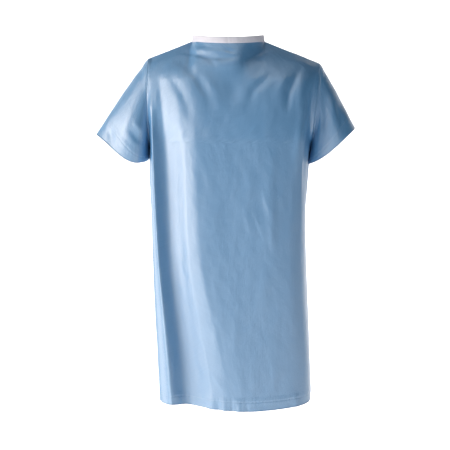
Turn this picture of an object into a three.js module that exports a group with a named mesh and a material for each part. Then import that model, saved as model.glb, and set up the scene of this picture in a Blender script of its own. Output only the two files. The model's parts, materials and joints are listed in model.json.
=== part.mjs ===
// A patient gown in the shape it hangs in when worn: front panel, two back panels that meet at an open
// back, set-in short sleeves, a neck binding, turned hems, seams and flat ties.
// Millimetres. +Z is up, the front faces -Y, the wearer's left is +X, and the origin is at the middle of the
// neck opening, at the height where the shoulder seams reach the neck.

import * as THREE from 'three';

// Driving dimensions
const hemZ = -996;
const neck = { halfWidth: 97, frontDepth: 78, backDepth: 62, frontZ: -16, backZ: 5 };
// The gown hangs a little to the wearer's left, so each side has its own places.
const underarmZ = -277;
const bendZ = -362;
const sides = {
  left: {
    sign: 1,
    shoulderTip: { x: 248, z: -60 },
    underarmX: 227,
    seamTop: { x: 206, y: 0 },
    seamEnd: { x: 230, y: 0 },
    sleeveEnd: { middle: { x: 288, z: -285 }, toTop: { x: 59.5, z: 49 } },
  },
  right: {
    sign: -1,
    shoulderTip: { x: 217, z: -47 },
    underarmX: 215,
    seamTop: { x: 216, y: -12 },
    seamEnd: { x: 187, y: 24 },
    sleeveEnd: { middle: { x: 290.5, z: -286 }, toTop: { x: 71.5, z: 33 } },
  },
};
const armholeHalfDepth = 62;
const sleeveEndHalfDepth = 68;
const sleeveEndSag = 12;
const sleeveFullness = 8;
const backOpening = { neckHalfGap: 16, hemHalfGap: 26 };

const clothThickness = 2;
const trimThickness = 1.2;
const pieceGap = 0.6;

const hemWidth = 25;
const edgeHemWidth = 22;
const sleeveHemShare = 0.18;
const armholeSeamWidth = 12;
const bindingHeight = 13;
const bindingThickness = 3;
const tie = { width: 12, length: 300, neckX: 8.5, waistX: 34, waistZ: -500, anchorLength: 20 };

// Share of a panel's half width that ends in the neckline; the rest ends in the shoulder seam.
const neckShare = 0.42;
// A back panel's columns nearer the middle than this are set by the back opening instead.
const backEdgeShare = 0.3;
// Below 1, a level section of the body is flatter in front and behind than an ellipse.
const sectionPower = 0.83;
// How far below its top edge a panel has rounded over the shoulder, as a share of the way to the next level.
const shoulderRoundShare = 0.45;
const shoulderRoundOut = { middle: 7, edge: 12.5 };
// Where the shoulder and side seams' allowances end, as shares down and across the panel's own grid.
const allowanceShare = 0.25;
const sideSeamShare = 0.963;

// Height and half depth of the cloth, from the upper chest and back down to the hem.
const frontDepths = [
  [-110, 104], [-150, 118], [-190, 126], [-235, 129], [underarmZ, 128], [bendZ, 125], [hemZ, 129],
];
const backDepths = [
  [-110, 110], [-150, 122], [-190, 128], [-235, 128], [underarmZ, 126], [bendZ, 122], [hemZ, 132],
];

const sleeveClearance = 1.5;
const armholeBandShare = 0.9;
const tieClearance = 2.4;

const blueCloth = { color: 0x8fb4d8, roughness: 0.85, metalness: 0 };
const whiteTape = { color: 0xe9eaf0, roughness: 0.8, metalness: 0 };

const gown = new THREE.Group();

function addPiece(name, geometry, look) {
  const mesh = new THREE.Mesh(geometry, new THREE.MeshStandardMaterial(look));
  mesh.name = name;
  gown.add(mesh);
}

const steps = (count, from, to) =>
  Array.from({ length: count + 1 }, (_, i) => THREE.MathUtils.lerp(from, to, i / count));

// Cloth solids: a grid of points on the outer side, given thickness along its normals.

function gridNormals(grid, closed, outward, fixNormal) {
  const rows = grid.length;
  const columns = grid[0].length;
  const columnAt = (c) => (closed ? (c + columns) % columns : THREE.MathUtils.clamp(c, 0, columns - 1));
  return grid.map((row, r) => row.map((point, c) => {
    const below = grid[Math.min(r + 1, rows - 1)][c];
    const above = grid[Math.max(r - 1, 0)][c];
    const across = row[columnAt(c + 1)].clone().sub(row[columnAt(c - 1)]);
    const normal = across.cross(below.clone().sub(above)).normalize();
    if (normal.dot(outward(point)) < 0) {
      normal.negate();
    }
    if (fixNormal) {
      fixNormal(normal, r, c);
    }
    return normal.normalize();
  }));
}

function signedVolume(points, indices) {
  let volume = 0;
  for (let i = 0; i < indices.length; i += 3) {
    const [a, b, c] = [0, 1, 2].map((k) => points[indices[i + k]]);
    volume += a.dot(b.clone().cross(c)) / 6;
  }
  return volume;
}

// The closed solid between two depths under the grid; a negative depth is outside it.
function layer(grid, normals, depthFrom, depthTo, closed = false) {
  const rows = grid.length;
  const columns = grid[0].length;
  const pointsAt = (depth) =>
    grid.flatMap((row, r) => row.map((p, c) => p.clone().addScaledVector(normals[r][c], -depth)));
  const points = [...pointsAt(depthFrom), ...pointsAt(depthTo)];
  const outer = (r, c) => r * columns + (c % columns);
  const inner = (r, c) => rows * columns + outer(r, c);
  const indices = [];
  const quad = (a, b, c, d) => indices.push(a, b, c, a, c, d);

  const spans = closed ? columns : columns - 1;
  for (let r = 0; r < rows - 1; r += 1) {
    for (let c = 0; c < spans; c += 1) {
      quad(outer(r, c), outer(r + 1, c), outer(r + 1, c + 1), outer(r, c + 1));
      quad(inner(r, c), inner(r, c + 1), inner(r + 1, c + 1), inner(r + 1, c));
    }
    if (!closed) {
      quad(outer(r, 0), inner(r, 0), inner(r + 1, 0), outer(r + 1, 0));
      quad(outer(r, spans), outer(r + 1, spans), inner(r + 1, spans), inner(r, spans));
    }
  }
  for (let c = 0; c < spans; c += 1) {
    quad(outer(0, c), outer(0, c + 1), inner(0, c + 1), inner(0, c));
    quad(outer(rows - 1, c), inner(rows - 1, c), inner(rows - 1, c + 1), outer(rows - 1, c + 1));
  }
  if (signedVolume(points, indices) < 0) {
    indices.reverse();
  }
  const geometry = new THREE.BufferGeometry().setFromPoints(points);
  geometry.setIndex(indices);
  geometry.computeVertexNormals();
  return geometry;
}

const sideOf = (u) => (u < 0 ? sides.right : sides.left);

// Body panels. u runs from -1 at the right side seam to 1 at the left one, with 0 at the middle.
// facing is -1 on the front and 1 on the back.

function topEdgePoint(u, facing) {
  const across = Math.abs(u);
  const { sign, shoulderTip } = sideOf(u);
  if (across <= neckShare) {
    const angle = (across / neckShare) * (Math.PI / 2);
    const depth = facing < 0 ? neck.frontDepth : neck.backDepth;
    const middleZ = facing < 0 ? neck.frontZ : neck.backZ;
    return new THREE.Vector3(
      sign * neck.halfWidth * Math.sin(angle),
      facing * depth * Math.cos(angle),
      middleZ * Math.cos(angle) ** 2,
    );
  }
  const along = (across - neckShare) / (1 - neckShare);
  return new THREE.Vector3(
    sign * THREE.MathUtils.lerp(neck.halfWidth, shoulderTip.x, along),
    0,
    shoulderTip.z * along,
  );
}

function armholeOf({ shoulderTip, underarmX }) {
  const top = new THREE.Vector3(shoulderTip.x, 0, shoulderTip.z);
  const bottom = new THREE.Vector3(underarmX, 0, underarmZ);
  return {
    centre: top.clone().add(bottom).multiplyScalar(0.5),
    toTop: top.sub(bottom).multiplyScalar(0.5),
    halfDepth: armholeHalfDepth,
  };
}

// A panel's level section runs to its side edge, which is on the armhole down to the underarm and on the
// side seam below it. The section is a curve of its half width, half depth and the angle at its edge.
function levelShape(z, side, halfDepth) {
  if (z >= underarmZ) {
    const { centre, toTop } = armholeOf(side);
    const cosine = (z - centre.z) / toTop.z;
    const edgeY = armholeHalfDepth * Math.sqrt(Math.max(0, 1 - cosine * cosine));
    const edgeAngle = Math.acos((edgeY / halfDepth) ** (1 / sectionPower));
    const edgeX = centre.x + toTop.x * cosine;
    return { halfWidth: edgeX / Math.sin(edgeAngle) ** sectionPower, edgeAngle, seamY: 0 };
  }
  const aboveBend = z > bendZ;
  const [from, to] = aboveBend ? [{ x: side.underarmX, y: 0 }, side.seamTop] : [side.seamTop, side.seamEnd];
  const along = aboveBend
    ? THREE.MathUtils.inverseLerp(underarmZ, bendZ, z)
    : THREE.MathUtils.inverseLerp(bendZ, hemZ, z);
  return {
    halfWidth: THREE.MathUtils.lerp(from.x, to.x, along),
    edgeAngle: Math.PI / 2,
    seamY: THREE.MathUtils.lerp(from.y, to.y, along),
  };
}

function levelPoint(u, facing, z, halfDepth) {
  const side = sideOf(u);
  const { halfWidth, edgeAngle, seamY } = levelShape(z, side, halfDepth);
  const angle = Math.abs(u) * edgeAngle;
  return new THREE.Vector3(
    side.sign * halfWidth * Math.sin(angle) ** sectionPower,
    seamY + (facing * halfDepth - seamY) * Math.max(0, Math.cos(angle)) ** sectionPower,
    z,
  );
}

function depthAt(z, depths) {
  const next = Math.max(1, depths.findIndex(([levelZ]) => levelZ <= z));
  const [[z0, depth0], [z1, depth1]] = depths.slice(next - 1, next + 1);
  return THREE.MathUtils.mapLinear(z, z0, z1, depth0, depth1);
}

// A panel's levels are heights, after three named ones: its top edge, the end of the shoulder seam's
// allowance, and the round of the shoulder.
function panelPoint(u, facing, level) {
  const depths = facing < 0 ? frontDepths : backDepths;
  if (level === 'top') {
    return topEdgePoint(u, facing);
  }
  if (level === 'allowance') {
    return topEdgePoint(u, facing).lerp(panelPoint(u, facing, 'round'), allowanceShare);
  }
  if (level === 'round') {
    const [z, halfDepth] = depths[0];
    const point = topEdgePoint(u, facing).lerp(levelPoint(u, facing, z, halfDepth), shoulderRoundShare);
    const out = new THREE.Vector3(0, facing, 1).normalize();
    const reach = THREE.MathUtils.lerp(shoulderRoundOut.middle, shoulderRoundOut.edge, Math.abs(u) ** 4);
    return point.addScaledVector(out, reach);
  }
  return levelPoint(u, facing, level, depthAt(level, depths));
}

// columnsAt gives the columns of a level, so that the edge of a panel can drift from one level to the next.
function panelGrid(levels, columnsAt, facing) {
  const columns = levels.map(columnsAt);
  const grid = levels.map((level, r) => columns[r].map((u) => {
    const point = panelPoint(u, facing, level);
    point.y += (facing * pieceGap) / 2;
    return point;
  }));
  // At a seam the normal leans to neither panel, so that both panels end square at it.
  const squareAtSeams = (normal, r, c) => {
    const across = Math.abs(columns[r][c]);
    if (across === 1 || (levels[r] === 'top' && across >= neckShare)) {
      normal.y = 0;
    }
  };
  const outward = (point) => new THREE.Vector3(point.x, point.y, neck.halfWidth / 3);
  return { levels, grid, normals: gridNormals(grid, false, outward, squareAtSeams) };
}

// Part of a panel, from one level to another and from one column to another, as a solid of its own.
function addPart(name, panel, [firstLevel, lastLevel], [from, to], [firstColumn, endColumn] = []) {
  const take = (rows) => rows
    .slice(panel.levels.indexOf(firstLevel), panel.levels.indexOf(lastLevel) + 1)
    .map((row) => row.slice(firstColumn, endColumn));
  addPiece(name, layer(take(panel.grid), take(panel.normals), from, to), blueCloth);
}

const cloth = [0, clothThickness];
// A folded edge or seam allowance lies against the inside of its panel.
const folded = [clothThickness + pieceGap, clothThickness + pieceGap + trimThickness];

const hemTopZ = hemZ + hemWidth;
const aboveHemZ = hemTopZ + pieceGap;
const upperLevels = ['top', 'allowance', 'round', ...frontDepths.map(([z]) => z).filter((z) => z >= bendZ)];
const lowerLevels = [aboveHemZ, hemTopZ, hemZ];

const shoulderColumns = [...steps(5, neckShare, 1).slice(0, -1), sideSeamShare, 1];
const halfColumns = [...steps(5, 0, neckShare), ...shoulderColumns.slice(1)];
const frontColumns = [...halfColumns.slice(1).map((u) => -u).reverse(), ...halfColumns];

function addFront() {
  const front = panelGrid([...upperLevels, ...lowerLevels], () => frontColumns, -1);
  addPart('front_panel', front, ['top', hemZ], cloth);
  addPart('front_hem', front, [hemTopZ, hemZ], folded);
  // The seam allowances are pressed towards the front.
  const last = frontColumns.length;
  const shoulder = shoulderColumns.length;
  addPart('side_seam_left', front, [underarmZ, aboveHemZ], folded, [last - 2, last]);
  addPart('side_seam_right', front, [underarmZ, aboveHemZ], folded, [0, 2]);
  addPart('shoulder_seam_left', front, ['top', 'allowance'], folded, [last - shoulder, last - 2]);
  addPart('shoulder_seam_right', front, ['top', 'allowance'], folded, [2, shoulder]);
}

const isHeight = (level) => typeof level === 'number';

// The column of a back panel, as a share from the middle to the side seam, that is x from the middle.
function backShareAt(x, level, side) {
  if (isHeight(level)) {
    const { halfWidth, edgeAngle } = levelShape(level, side, depthAt(level, backDepths));
    return Math.asin((x / halfWidth) ** (1 / sectionPower)) / edgeAngle;
  }
  return (neckShare * Math.asin(x / neck.halfWidth)) / (Math.PI / 2);
}

// The columns of a back panel, from its side seam to its edge hem and its edge. The two edges of the back
// opening drift apart towards the hem.
function backColumns(level, side) {
  const height = isHeight(level) ? level : 0;
  const halfGap = THREE.MathUtils.mapLinear(height, 0, hemZ, backOpening.neckHalfGap, backOpening.hemHalfGap);
  const outer = halfColumns.filter((u) => u > backEdgeShare).reverse();
  const edgeHem = [halfGap + edgeHemWidth, halfGap].map((x) => backShareAt(x, level, side));
  return [...outer, ...edgeHem].map((u) => side.sign * u);
}

function addBack(side, word) {
  const lowerTop = bendZ - pieceGap;
  const back = panelGrid([...upperLevels, lowerTop, ...lowerLevels], (level) => backColumns(level, side), 1);
  addPart(`back_${word}_upper`, back, ['top', bendZ], cloth);
  addPart(`back_${word}_lower`, back, [lowerTop, hemZ], cloth);
  addPart(`back_${word}_hem`, back, [hemTopZ, hemZ], folded);
  addPart(`back_${word}_edge_hem_upper`, back, ['top', bendZ], folded, [-2]);
  addPart(`back_${word}_edge_hem_lower`, back, [lowerTop, aboveHemZ], folded, [-2]);
}

// A ring seen along the sleeve: 0 is its highest point and a quarter turn is its front.
const ringAngles = steps(20, 0, 2 * Math.PI).slice(0, -1);

function ringPoint(ring, angle, sign) {
  const point = ring.centre.clone().addScaledVector(ring.toTop, Math.cos(angle));
  point.y -= ring.halfDepth * Math.sin(angle);
  point.x *= sign;
  return point;
}

function sleeveGrid(side, shares) {
  const { middle, toTop } = side.sleeveEnd;
  const end = {
    centre: new THREE.Vector3(middle.x, 0, middle.z),
    toTop: new THREE.Vector3(toTop.x, 0, toTop.z),
    halfDepth: sleeveEndHalfDepth,
  };
  return shares.map((share) => ringAngles.map((angle) => {
    const start = ringPoint(armholeOf(side), angle, side.sign);
    start.x += side.sign * sleeveClearance;
    const point = start.lerp(ringPoint(end, angle, side.sign), share);
    point.y -= sleeveFullness * Math.sin(angle) * Math.sin(Math.PI * share);
    point.z -= sleeveEndSag * share * Math.sin(angle) ** 2;
    return point;
  }));
}

function tubeNormals(grid) {
  const middles = grid.map((ring) =>
    ring.reduce((sum, point) => sum.add(point), new THREE.Vector3()).divideScalar(ring.length));
  const middleOf = (point) => middles[grid.findIndex((ring) => ring.includes(point))];
  return gridNormals(grid, true, (point) => point.clone().sub(middleOf(point)));
}

function addTube(name, grid, [from, to]) {
  addPiece(name, layer(grid, tubeNormals(grid), from, to, true), blueCloth);
}

function addSleeve(side, word) {
  const hemStart = 1 - sleeveHemShare;
  addTube(`sleeve_${word}`, sleeveGrid(side, [0, 0.3, 0.6, hemStart, 1]), cloth);
  addTube(`sleeve_${word}_hem`, sleeveGrid(side, [hemStart, 1]), folded);
  // The armhole seam's allowance is a band just inside the armhole.
  const armhole = armholeOf(side);
  const middle = armhole.centre.clone().setX(side.sign * armhole.centre.x);
  const band = [-armholeSeamWidth, -pieceGap].map((inset) => ringAngles.map((angle) => {
    const point = ringPoint(armhole, angle, side.sign).sub(middle).multiplyScalar(armholeBandShare).add(middle);
    point.x += side.sign * inset;
    return point;
  }));
  addTube(`armhole_seam_${word}`, band, [0, trimThickness]);
}

// One tape round the neck, from one edge of the back opening to the other.
function addNeckBinding() {
  const backHalf = backColumns('top', sides.left).filter((u) => u < neckShare);
  const around = [
    ...backHalf.toReversed().map((u) => ({ u, facing: 1 })),
    ...steps(10, neckShare, -neckShare).map((u) => ({ u, facing: -1 })),
    ...backHalf.map((u) => ({ u: -u, facing: 1 })),
  ];
  const grid = [bindingHeight, 0].map((height) => around.map(({ u, facing }) => {
    const point = topEdgePoint(u, facing);
    point.z += pieceGap + height;
    return point;
  }));
  const normals = gridNormals(grid, false, (point) => new THREE.Vector3(point.x, point.y, 0));
  addPiece('neck_binding', layer(grid, normals, -pieceGap, bindingThickness), whiteTape);
}

// A flat tie hangs down the back, in line with the cloth beside it or a little outside it.
function overBack(x, level, side, clearance) {
  const point = panelPoint(side.sign * backShareAt(x, level, side), 1, level);
  const out = new THREE.Vector3(0, 1, isHeight(level) ? 0 : 1).normalize();
  return point.addScaledVector(out, clearance);
}

function addTape(name, x, path) {
  const grid = path.map(({ y, z }) => [-1, 1].map((edge) => new THREE.Vector3(x + (edge * tie.width) / 2, y, z)));
  const normals = gridNormals(grid, false, () => new THREE.Vector3(0, 1, 0));
  addPiece(name, layer(grid, normals, -trimThickness, 0), whiteTape);
}

function addTies(side, word) {
  const neckTieTop = new THREE.Vector3(0, overBack(tie.neckX, 'top', side, 0).y, bindingHeight);
  const neckTieEnd = neckTieTop.z - tie.length;
  const heights = backDepths.map(([z]) => z).filter((z) => z > neckTieEnd);
  const levels = ['top', 'round', ...heights, neckTieEnd];
  const inGap = levels.map((level) => overBack(tie.neckX, level, side, 0));
  addTape(`neck_tie_${word}`, side.sign * tie.neckX, [neckTieTop, ...inGap]);

  const hangTop = tie.waistZ - tie.anchorLength - pieceGap;
  const onFlap = (z) => overBack(tie.waistX, z, side, tieClearance);
  const waistX = side.sign * tie.waistX;
  addTape(`waist_tie_anchor_${word}`, waistX, [tie.waistZ, tie.waistZ - tie.anchorLength].map(onFlap));
  addTape(`waist_tie_${word}`, waistX, [hangTop, tie.waistZ - tie.length].map(onFlap));
}

addFront();
addNeckBinding();
for (const [word, side] of Object.entries(sides)) {
  addBack(side, word);
  addSleeve(side, word);
  addTies(side, word);
}

export default gown;
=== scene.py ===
"""A patient gown in the shape it hangs in when worn. The cloth, hems, seams, binding and ties made here
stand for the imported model's plain solids. Metres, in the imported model's frame: +Z up, the front
faces -Y, and the wearer's left is +X."""

import json
import math

import bpy
import numpy as np
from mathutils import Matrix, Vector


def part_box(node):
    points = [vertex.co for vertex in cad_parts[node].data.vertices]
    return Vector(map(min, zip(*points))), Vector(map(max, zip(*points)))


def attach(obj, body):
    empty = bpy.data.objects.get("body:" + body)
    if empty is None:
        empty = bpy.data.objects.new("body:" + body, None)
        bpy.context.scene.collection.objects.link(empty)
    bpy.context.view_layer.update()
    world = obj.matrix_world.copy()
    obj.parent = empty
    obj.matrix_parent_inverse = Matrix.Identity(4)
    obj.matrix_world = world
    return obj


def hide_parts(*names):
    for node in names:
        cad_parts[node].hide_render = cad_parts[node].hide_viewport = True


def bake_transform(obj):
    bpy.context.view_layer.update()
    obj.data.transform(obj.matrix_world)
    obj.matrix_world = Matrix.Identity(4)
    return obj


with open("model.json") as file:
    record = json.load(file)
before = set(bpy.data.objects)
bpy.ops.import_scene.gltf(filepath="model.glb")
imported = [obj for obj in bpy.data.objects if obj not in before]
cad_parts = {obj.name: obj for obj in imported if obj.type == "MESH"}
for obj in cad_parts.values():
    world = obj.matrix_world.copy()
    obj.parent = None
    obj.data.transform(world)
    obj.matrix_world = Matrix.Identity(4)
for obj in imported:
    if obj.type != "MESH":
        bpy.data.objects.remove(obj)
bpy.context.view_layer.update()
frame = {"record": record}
joints = {joint["name"]: joint for joint in frame["record"]["behaviour"]["joints"]}

MM = 0.001
SIGNS = {"left": 1, "right": -1}

# Thicknesses and widths of the cloth and tape
CLOTH = 0.8 * MM
FOLDED = 0.6 * MM
PLY_GAP = 0.25 * MM
HEM_WIDTH = 25 * MM
EDGE_HEM_WIDTH = 22 * MM
SEAM_WIDTH = 12 * MM
TAPE = 0.9 * MM
STITCH_INSET = 2.5 * MM
HEM_STITCH_INSET = 0.5 * MM
# How much further from the middle the cloth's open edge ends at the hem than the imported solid's
HEM_GAP_SPARE = 6 * MM

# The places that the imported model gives
hem_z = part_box("front_panel")[0][2]
underarm_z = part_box("side_seam_left")[1][2]
bend_z = joints["left_back_open"]["pos_m"][2]
neck_half_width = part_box("neck_binding")[1][0]
neck_front_depth = -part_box("neck_binding")[0][1]
neck_back_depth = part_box("neck_binding")[1][1]
neck_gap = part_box("back_left_edge_hem_upper")[0][0]
hem_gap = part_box("back_left_lower")[0][0] + HEM_GAP_SPARE


# Curves and grids of points

def smoothstep(t):
    t = np.clip(t, 0, 1)
    return t * t * (3 - 2 * t)


def lerp(a, b, t):
    return a + (b - a) * t


def through(knots, values, at):
    """A smooth curve through the knots that never overshoots them, read at the given places."""
    knots = np.asarray(knots, float)
    values = np.asarray(values, float)
    at = np.asarray(at, float)
    shape = (-1,) + (1,) * (values.ndim - 1)
    gaps = np.diff(knots).reshape(shape)
    rises = np.diff(values, axis=0) / gaps
    before, after = rises[:-1], rises[1:]
    near, far = gaps[:-1] + 2 * gaps[1:], 2 * gaps[:-1] + gaps[1:]
    turning = before * after <= 0
    safe_before = np.where(turning, 1, before)
    safe_after = np.where(turning, 1, after)
    slopes = np.empty_like(values)
    slopes[1:-1] = np.where(turning, 0, (near + far) / (near / safe_before + far / safe_after))
    slopes[0], slopes[-1] = rises[0], rises[-1]
    span = np.clip(np.searchsorted(knots, at, side="right") - 1, 0, len(knots) - 2)
    t = ((at - knots[span]) / np.diff(knots)[span]).reshape(shape)
    width = gaps[span]
    start = (1 + 2 * t) * (1 - t) ** 2 * values[span] + t * (1 - t) ** 2 * width * slopes[span]
    end = t * t * (3 - 2 * t) * values[span + 1] + t * t * (t - 1) * width * slopes[span + 1]
    return start + end


def spread(knots, counts):
    """Places between the knots, as many in each gap as the counts say."""
    runs = [np.linspace(a, b, n, endpoint=False) for a, b, n in zip(knots, knots[1:], counts)]
    return np.append(np.concatenate(runs), knots[-1])


def neighbours(grid, axis, closed):
    if closed:
        return np.roll(grid, -1, axis), np.roll(grid, 1, axis)
    count = grid.shape[axis]
    ahead = np.take(grid, [*range(1, count), count - 1], axis)
    behind = np.take(grid, [0, *range(count - 1)], axis)
    return ahead, behind


def normals_of(grid, outward, closed=False):
    """The unit normals of a grid of points, on the side that outward points to."""
    right, left = neighbours(grid, 1, closed)
    below, above = neighbours(grid, 0, False)
    normals = np.cross(right - left, below - above)
    normals /= np.maximum(np.linalg.norm(normals, axis=2, keepdims=True), 1e-12)
    middle = (grid.shape[0] // 2, grid.shape[1] // 2)
    if np.dot(normals[middle], outward) < 0:
        normals = -normals
    return normals


def runs_of(grid, axis):
    """How far along the cloth each point is, from the grid's first row or column."""
    steps = np.linalg.norm(np.diff(grid, axis=axis), axis=2)
    start = np.zeros_like(np.take(steps, [0], axis))
    return np.concatenate([start, np.cumsum(steps, axis)], axis)


def place_by_path(points, path):
    """Signed distance of each point to a path in the same plane, and how far along it is, 0 to 1."""
    path = np.asarray(path, float)
    lengths = np.linalg.norm(np.diff(path, axis=0), axis=1)
    begun = np.concatenate([[0], np.cumsum(lengths)])
    best = np.full(points.shape[:-1], np.inf)
    signed = np.zeros_like(best)
    along = np.zeros_like(best)
    for a, b, length, before in zip(path, path[1:], lengths, begun):
        way = (b - a) / length
        reach = np.clip((points - a) @ way, 0, length)
        away = points - a - reach[..., None] * way
        distance = np.linalg.norm(away, axis=-1)
        side = np.sign(way[0] * away[..., 1] - way[1] * away[..., 0])
        closer = distance < best
        best = np.where(closer, distance, best)
        signed = np.where(closer, distance * side, signed)
        along = np.where(closer, (before + reach) / begun[-1], along)
    return signed, along


def fold(plane, path, height, width, lean=0.0, fade=0.5):
    """How far a fold lifts each point: height along its path, which falls off to nothing over its width and
    towards both ends. A fold that leans is steeper on one side."""
    signed, along = place_by_path(plane, np.asarray(path, float) * MM)
    reach = width * MM * (1 + lean * np.tanh(signed / (width * MM)))
    ends = smoothstep(along / fade) * smoothstep((1 - along) / fade)
    return height * MM * ends * np.exp(-((signed / reach) ** 2))


def ripples(plane, seed, waves, height, lengths):
    """Slight unevenness: waves of random length that add up, longer down the cloth than across it."""
    draw = np.random.default_rng(seed)
    total = np.zeros(plane.shape[:-1])
    for _ in range(waves):
        across = 2 * math.pi / (draw.uniform(*lengths) * MM)
        slant = draw.uniform(-0.3, 0.3)
        phases = draw.uniform(0, 2 * math.pi, 2)
        down = across * draw.uniform(0.15, 0.35)
        wave = np.sin(across * (plane[..., 0] + slant * plane[..., 1]) + phases[0])
        total += wave * np.sin(down * plane[..., 1] + phases[1])
    return height * MM * total / math.sqrt(waves)


# Pieces

def new_piece(name, vertices, faces, uvs, material, marks):
    """A smooth mesh. Its marks are numbers at each vertex, which the material reads to place stitches."""
    mesh = bpy.data.meshes.new(name)
    mesh.from_pydata([tuple(v) for v in vertices], [], faces)
    layer = mesh.uv_layers.new(name="UVMap")
    loop_vertices = np.empty(len(mesh.loops), dtype=np.int32)
    mesh.loops.foreach_get("vertex_index", loop_vertices)
    layer.data.foreach_set("uv", np.asarray(uvs, np.float32)[loop_vertices].ravel())
    for mark, values in marks.items():
        attribute = mesh.attributes.new(mark, "FLOAT", "POINT")
        attribute.data.foreach_set("value", np.asarray(values, np.float32).ravel())
    mesh.polygons.foreach_set("use_smooth", [True] * len(mesh.polygons))
    mesh.materials.append(material)
    mesh.update()
    piece = bpy.data.objects.new(name, mesh)
    bpy.context.scene.collection.objects.link(piece)
    return piece


def quads(index):
    """The faces between neighbouring points of a numbered grid."""
    a, b, c, d = index[:-1, :-1], index[1:, :-1], index[1:, 1:], index[:-1, 1:]
    return np.stack([a, b, c, d], -1).reshape(-1, 4)


def cloth_piece(name, grid, normals, near, far, marks, material, closed=False):
    """Cloth under a grid of points, from one depth below it to another, as one closed body. The columns
    of a closed grid go all round."""
    rows, columns = grid.shape[:2]
    outer = grid - normals * near
    inner = grid - normals * far
    vertices = np.concatenate([outer.reshape(-1, 3), inner.reshape(-1, 3)])
    index = np.arange(rows * columns).reshape(rows, columns)
    if closed:
        index = np.concatenate([index, index[:, :1]], 1)
    edges = [] if closed else [index[:, 0], index[::-1, -1]]
    edges += [index[0, ::-1], index[-1]]
    other_side = rows * columns
    outside = quads(index)
    rim = np.concatenate([quads(np.stack([edge, edge + other_side], -1)) for edge in edges])
    across = grid[0, 1] - grid[0, 0]
    down = grid[1, 0] - grid[0, 0]
    if np.dot(np.cross(down, across), normals[0, 0]) < 0:
        outside, rim = outside[:, ::-1], rim[:, ::-1]
    inside = outside[:, ::-1] + other_side
    faces = np.concatenate([outside, inside, rim]).tolist()
    uv = np.stack([runs_of(grid, 1), runs_of(grid, 0)], -1).reshape(-1, 2)
    both = {mark: np.tile(values.ravel(), 2) for mark, values in marks.items()}
    return new_piece(name, vertices, faces, np.tile(uv, (2, 1)), material, both)


def no_stitches(grid):
    """Marks of a piece that is nowhere near a row of stitches."""
    return {"stitch_across": np.full(grid.shape[:2], FAR_FROM_STITCHES), "stitch_along": runs_of(grid, 1)}


def inner_strip(name, panel, rows, columns, closed=False):
    """A folded edge or seam allowance that lies against the inside of its panel and follows its folds.
    It covers the panel between two rows and two columns, both ends included."""
    part = (slice(rows[0], rows[1] + 1), slice(columns[0], columns[1] + 1))
    grid, normals = panel["grid"][part], panel["normals"][part]
    depth = CLOTH + PLY_GAP
    return cloth_piece(name, grid, normals, depth, depth + FOLDED, no_stitches(grid), cloth_look,
                       closed)


# Materials

# Each kind of unevenness in the cloth: how often it repeats in a metre across and down, and its detail
UNEVENNESS = {
    "warp_yarn": (1400, 25, 2),
    "weft_yarn": (25, 1400, 2),
    "blotches": (14, 9, 4),
    "crumples": (40, 18, 3),
    "slubs": (6, 380, 2),
}
# How far each pattern lifts the surface, in millimetres
RELIEF_HEIGHTS = {
    "threads": 0.04, "yarn": 0.08, "puckers": 1.3, "crumples": 1.5, "groove": -0.55, "stitches": 0.3}
STITCH_LENGTH = 3 * MM
STITCH_WIDTH = 0.7 * MM
GROOVE_WIDTH = 3.5 * MM
PUCKER_WIDTH = 14 * MM
PUCKERS_PER_METRE = 110.0
FAR_FROM_STITCHES = 1.0


def add_node(tree, kind, inputs=None, **settings):
    node = tree.nodes.new(kind)
    for key, value in settings.items():
        setattr(node, key, value)
    for key, value in (inputs or {}).items():
        if isinstance(value, bpy.types.NodeSocket):
            tree.links.new(value, node.inputs[key])
        else:
            node.inputs[key].default_value = value
    return node


def math_node(tree, operation, a, b=0.0, c=0.0, clamp=False):
    node = add_node(tree, "ShaderNodeMath", {0: a, 1: b, 2: c}, operation=operation, use_clamp=clamp)
    return node.outputs[0]


def mix_colours(tree, share, first, second):
    """A mix of two colours. Its colour sockets share their names with others, so they're set by place."""
    node = add_node(tree, "ShaderNodeMix", {0: share, 6: first, 7: second}, data_type="RGBA")
    return node.outputs[2]


def falls_off(tree, distance, width):
    """1 at no distance, and down to 0 at the width."""
    return math_node(tree, "SUBTRACT", 1.0, math_node(tree, "DIVIDE", distance, width), clamp=True)


def weave_patterns(tree, thread_pitch):
    """The crossing threads, and each kind of unevenness in the cloth."""
    uv = add_node(tree, "ShaderNodeUVMap", uv_map="UVMap").outputs["UV"]
    parts = add_node(tree, "ShaderNodeSeparateXYZ", {"Vector": uv}).outputs
    turn = 2 * math.pi / thread_pitch
    warp = math_node(tree, "SINE", math_node(tree, "MULTIPLY", parts["X"], turn))
    weft = math_node(tree, "SINE", math_node(tree, "MULTIPLY", parts["Y"], turn))
    patterns = {"threads": math_node(tree, "MULTIPLY", warp, weft)}
    for name, (across, down, detail) in UNEVENNESS.items():
        scaled = add_node(tree, "ShaderNodeMapping", {"Vector": uv, "Scale": (across, down, 1)})
        noise = add_node(
            tree, "ShaderNodeTexNoise", {"Vector": scaled.outputs["Vector"], "Scale": 1.0, "Detail": detail})
        patterns[name] = noise.outputs[0]
    patterns["yarn"] = math_node(tree, "ADD", patterns["warp_yarn"], patterns["weft_yarn"])
    return patterns


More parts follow.
